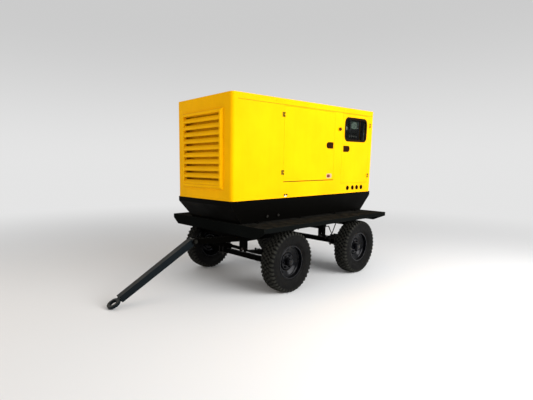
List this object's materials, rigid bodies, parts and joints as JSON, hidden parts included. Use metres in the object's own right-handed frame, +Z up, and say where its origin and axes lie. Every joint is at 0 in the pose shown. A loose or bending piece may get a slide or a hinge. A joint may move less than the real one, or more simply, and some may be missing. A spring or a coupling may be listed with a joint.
{
  "type": "towable diesel generator",
  "caption": "Canopied diesel generating set on a turntable trailer with hinged drawbar, sprung axles, opening doors and a base fuel tank.",
  "frame": {"origin": "on the ground, at mid-width and at the middle of the overall length from tow eye to rear louvre", "axes": "+Z up, drawbar and radiator end towards -Y, control-panel side towards +X"},
  "size_m": [1.9, 4.3834, 2.497],
  "materials": {
    "canopy_yellow": "semi-gloss sheet-metal paint",
    "chassis_black": "satin chassis paint",
    "drawbar_grey": "dark blue-grey paint, worn",
    "wheel_black": "glossy wheel paint",
    "tyre_rubber": "matt black rubber",
    "spring_steel": "dark oiled spring steel",
    "zinc_steel": "zinc-plated steel",
    "latch_black": "textured black",
    "seal_rubber": "matt black rubber",
    "window_clear": "clear",
    "engine_cast": "painted casting",
    "alternator_paint": "painted casting",
    "radiator_black": "matt black fins",
    "exhaust_metal": "heat-stained aluminised steel",
    "rotor_steel": "bare machined steel",
    "plastic_black": "matt",
    "panel_grey": "dark grey powder coat",
    "stop_red": "gloss red",
    "lever_black": "gloss black"
  },
  "bodies": {
    "chassis": {"deck": "chassis_black", "chassis_frame": "chassis_black", "turntable_upper_ring": "chassis_black", "rear_leaf_springs": "spring_steel", "base_tank": "chassis_black", "drain_plugs": "zinc_steel", "canopy_body": "canopy_yellow", "roof_panel": "canopy_yellow", "front_louvre": "canopy_yellow", "rear_louvre": "canopy_yellow", "cable_grommets": "seal_rubber", "door_hinges": "zinc_steel", "engine_block": "engine_cast", "cylinder_head": "engine_cast", "oil_sump": "engine_cast", "alternator_stator": "alternator_paint", "rubber_mounts": "seal_rubber", "radiator": "radiator_black", "fan_shroud": "plastic_black", "fan_belt": "seal_rubber", "exhaust_silencer": "exhaust_metal", "air_cleaner": "plastic_black", "control_cabinet": "panel_grey", "control_panel": "panel_grey", "battery": "plastic_black"},
    "bogie": {"bogie_frame": "chassis_black", "drawbar_pin": "zinc_steel", "front_leaf_springs": "spring_steel"},
    "front_axle": {"front_axle": "chassis_black", "front_spring_u_bolts": "spring_steel"},
    "rear_axle": {"rear_axle": "chassis_black", "rear_spring_u_bolts": "spring_steel"},
    "drawbar": {"drawbar": "drawbar_grey", "tow_eye": "drawbar_grey"},
    "left_engine_door": {"left_engine_door": "canopy_yellow", "left_engine_latch_cup": "latch_black"},
    "left_engine_latch": {"left_engine_latch_handle": "latch_black"},
    "right_engine_door": {"right_engine_door": "canopy_yellow", "right_engine_latch_cup": "latch_black"},
    "right_engine_latch": {"right_engine_latch_handle": "latch_black"},
    "left_control_door": {"left_control_door": "canopy_yellow", "left_control_latch_cup": "latch_black", "window_seal": "seal_rubber", "window_glass": "window_clear"},
    "left_control_latch": {"left_control_latch_handle": "latch_black"},
    "emergency_stop": {"emergency_stop_button": "stop_red"},
    "breaker_lever": {"breaker_lever": "lever_black"},
    "fuel_cap": {"fuel_cap": "plastic_black"},
    "rain_flap": {"exhaust_rain_flap": "exhaust_metal"},
    "crankshaft": {"crankshaft": "rotor_steel", "alternator_rotor": "rotor_steel"},
    "cooling_fan": {"cooling_fan": "plastic_black"},
    "front_left_wheel": {"front_left_tyre": "tyre_rubber", "front_left_wheel": "wheel_black"},
    "front_right_wheel": {"front_right_tyre": "tyre_rubber", "front_right_wheel": "wheel_black"},
    "rear_left_wheel": {"rear_left_tyre": "tyre_rubber", "rear_left_wheel": "wheel_black"},
    "rear_right_wheel": {"rear_right_tyre": "tyre_rubber", "rear_right_wheel": "wheel_black"}
  },
  "joints": [
    {"name": "steering", "type": "hinge", "parent": "chassis", "child": "bogie", "pos_m": [0, -0.12826, 0.76], "axis": [0, 0, 1], "range_deg": [-22, 22]},
    {"name": "front_suspension", "type": "slide", "parent": "bogie", "child": "front_axle", "axis": [0, 0, 1], "range_m": [-0.02, 0.02], "stiffness_N_per_m": 500000, "springref_m": -0.015, "deforming": ["front_leaf_springs"]},
    {"name": "rear_suspension", "type": "slide", "parent": "chassis", "child": "rear_axle", "axis": [0, 0, 1], "range_m": [-0.02, 0.02], "stiffness_N_per_m": 500000, "springref_m": -0.015, "deforming": ["rear_leaf_springs"]},
    {"name": "drawbar_pitch", "type": "hinge", "parent": "bogie", "child": "drawbar", "pos_m": [0, -1.02326, 0.643], "axis": [-1, 0, 0], "range_deg": [0, 100]},
    {"name": "front_left_wheel_spin", "type": "hinge", "parent": "front_axle", "child": "front_left_wheel", "pos_m": [0.808, -0.12826, 0.392], "axis": [1, 0, 0], "continuous": true},
    {"name": "front_right_wheel_spin", "type": "hinge", "parent": "front_axle", "child": "front_right_wheel", "pos_m": [-0.808, -0.12826, 0.392], "axis": [1, 0, 0], "continuous": true},
    {"name": "rear_left_wheel_spin", "type": "hinge", "parent": "rear_axle", "child": "rear_left_wheel", "pos_m": [0.808, 1.38674, 0.392], "axis": [1, 0, 0], "continuous": true},
    {"name": "rear_right_wheel_spin", "type": "hinge", "parent": "rear_axle", "child": "rear_right_wheel", "pos_m": [-0.808, 1.38674, 0.392], "axis": [1, 0, 0], "continuous": true},
    {"name": "left_engine_door_swing", "type": "hinge", "parent": "chassis", "child": "left_engine_door", "pos_m": [0.5705, 0.03674, 1.873], "axis": [0, 0, -1], "range_deg": [0, 110]},
    {"name": "right_engine_door_swing", "type": "hinge", "parent": "chassis", "child": "right_engine_door", "pos_m": [-0.5705, 0.03674, 1.873], "axis": [0, 0, 1], "range_deg": [0, 110]},
    {"name": "left_control_door_swing", "type": "hinge", "parent": "chassis", "child": "left_control_door", "pos_m": [0.5705, 2.03174, 1.823], "axis": [0, 0, 1], "range_deg": [0, 110]},
    {"name": "left_engine_latch_lift", "type": "hinge", "parent": "left_engine_door", "child": "left_engine_latch", "pos_m": [0.5575, 0.96974, 1.878], "axis": [0, 0, -1], "range_deg": [0, 35]},
    {"name": "right_engine_latch_lift", "type": "hinge", "parent": "right_engine_door", "child": "right_engine_latch", "pos_m": [-0.5575, 0.96974, 1.878], "axis": [0, 0, 1], "range_deg": [0, 35]},
    {"name": "left_control_latch_lift", "type": "hinge", "parent": "left_control_door", "child": "left_control_latch", "pos_m": [0.5575, 1.47575, 1.838], "axis": [0, 0, 1], "range_deg": [0, 35]},
    {"name": "emergency_stop_press", "type": "slide", "parent": "chassis", "child": "emergency_stop", "axis": [-1, 0, 0], "range_m": [0, 0.006]},
    {"name": "breaker_toggle", "type": "hinge", "parent": "chassis", "child": "breaker_lever", "pos_m": [0.455, 1.79174, 1.843], "axis": [0, 1, 0], "range_deg": [-20, 20]},
    {"name": "fuel_cap_turn", "type": "hinge", "parent": "chassis", "child": "fuel_cap", "pos_m": [-0.43, 0.85174, 1.233], "axis": [0, 0, 1], "range_deg": [0, 90]},
    {"name": "rain_flap_lift", "type": "hinge", "parent": "chassis", "child": "rain_flap", "pos_m": [-0.146, -0.27126, 2.488], "axis": [-1, 0, 0], "range_deg": [0, 70]},
    {"name": "crank_spin", "type": "hinge", "parent": "chassis", "child": "crankshaft", "pos_m": [0, 0.05174, 1.503], "axis": [0, 1, 0], "continuous": true},
    {"name": "fan_spin", "type": "hinge", "parent": "chassis", "child": "cooling_fan", "pos_m": [0, -0.54826, 1.738], "axis": [0, 1, 0], "continuous": true}
  ],
  "couplings": [
    {"joint": "fan_spin", "follows": "crank_spin", "ratio": 1.5}
  ]
}
